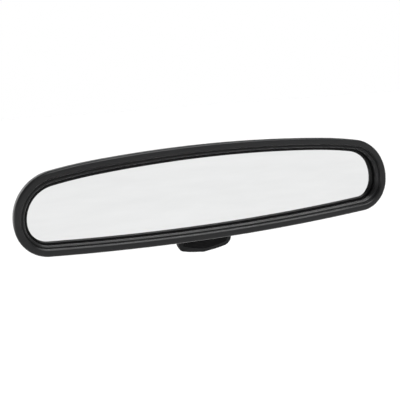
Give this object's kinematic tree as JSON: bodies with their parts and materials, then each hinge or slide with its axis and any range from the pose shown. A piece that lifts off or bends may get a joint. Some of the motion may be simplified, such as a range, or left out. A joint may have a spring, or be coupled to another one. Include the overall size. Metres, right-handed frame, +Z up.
{
  "type": "interior rearview mirror",
  "caption": "Interior rearview mirror: arched housing with a two-bead rim, day/night tipping lever, ball joint and spring-hook foot.",
  "frame": {"origin": "centre of the foot's ring seat, on the hook bolt's axis", "axes": "+Y along the hook bolt into the car's bracket, +X along the head's length, +Z up; the glass faces -Y"},
  "size_m": [0.2498, 0.0786, 0.0714],
  "materials": {
    "mount_foot": "satin black coat",
    "foot_neck": "zinc plated",
    "foot_gasket": "matt",
    "keyhole_bolt": "copper-brown plated steel, a little dull",
    "tension_spring": "black oxide",
    "spring_washer": "black oxide",
    "pivot_ball": "polished",
    "ball_liner": "natural nylon",
    "joint_bracket": "die cast",
    "clamp_plate": "pressed, zinc plated",
    "clamp_screw_1": "zinc plated",
    "clamp_screw_2": "zinc plated",
    "clamp_screw_3": "zinc plated",
    "shell": "fine moulded grain",
    "bezel": "satin, two moulded beads",
    "glass": "polished wedge",
    "silver_coat": "silvered",
    "foam_pad": "closed-cell foam",
    "hinge_pin": "ground",
    "lever_pin": "ground",
    "pin_clip_1": "spring steel",
    "pin_clip_2": "spring steel",
    "pin_clip_3": "spring steel",
    "pin_clip_4": "spring steel",
    "detent_spring": "spring steel",
    "detent_screw": "zinc plated",
    "dip_lever": "near-black moulded plastic",
    "lever_grip": "soft matt cover"
  },
  "bodies": {
    "mount": {"mount_foot": "mount_foot", "foot_neck": "foot_neck", "foot_gasket": "foot_gasket", "keyhole_bolt": "keyhole_bolt", "tension_spring": "tension_spring"},
    "washer": {"spring_washer": "spring_washer"},
    "ball": {"pivot_ball": "pivot_ball"},
    "liner": {"ball_liner": "ball_liner"},
    "bracket": {"joint_bracket": "joint_bracket", "clamp_plate": "clamp_plate", "clamp_screw_1": "clamp_screw_1", "clamp_screw_2": "clamp_screw_2", "clamp_screw_3": "clamp_screw_3"},
    "head": {"shell": "shell", "bezel": "bezel", "glass": "glass", "silver_coat": "silver_coat", "foam_pad": "foam_pad", "hinge_pin": "hinge_pin", "lever_pin": "lever_pin", "pin_clip_1": "pin_clip_1", "pin_clip_2": "pin_clip_2", "pin_clip_3": "pin_clip_3", "pin_clip_4": "pin_clip_4", "detent_spring": "detent_spring", "detent_screw": "detent_screw"},
    "lever": {"dip_lever": "dip_lever", "lever_grip": "lever_grip"}
  },
  "joints": [
    {"name": "washer_slide", "type": "slide", "parent": "mount", "child": "washer", "axis": [0, 1, 0], "range_m": [-0.004, 0], "stiffness_N_per_m": 1500, "springref_m": 0.003, "deforming": ["tension_spring"]},
    {"name": "ball_roll", "type": "hinge", "parent": "mount", "child": "ball", "pos_m": [0, -0.023, 0], "axis": [0, 1, 0], "range_deg": [-20, 20]},
    {"name": "ball_yaw", "type": "hinge", "parent": "ball", "child": "liner", "pos_m": [0, -0.023, 0], "axis": [0, 0, 1], "range_deg": [-20, 20]},
    {"name": "ball_pitch", "type": "hinge", "parent": "liner", "child": "bracket", "pos_m": [0, -0.023, 0], "axis": [1, 0, 0], "range_deg": [-14, 14]},
    {"name": "dip_tilt", "type": "hinge", "parent": "bracket", "child": "head", "pos_m": [0, -0.026, 0.017], "axis": [1, 0, 0], "range_deg": [-4, 0]},
    {"name": "lever_swing", "type": "hinge", "parent": "head", "child": "lever", "pos_m": [0, -0.0275, -0.0196], "axis": [1, 0, 0], "range_deg": [-40, 0]}
  ],
  "couplings": [
    {"joint": "lever_swing", "follows": "dip_tilt", "ratio": 10}
  ]
}
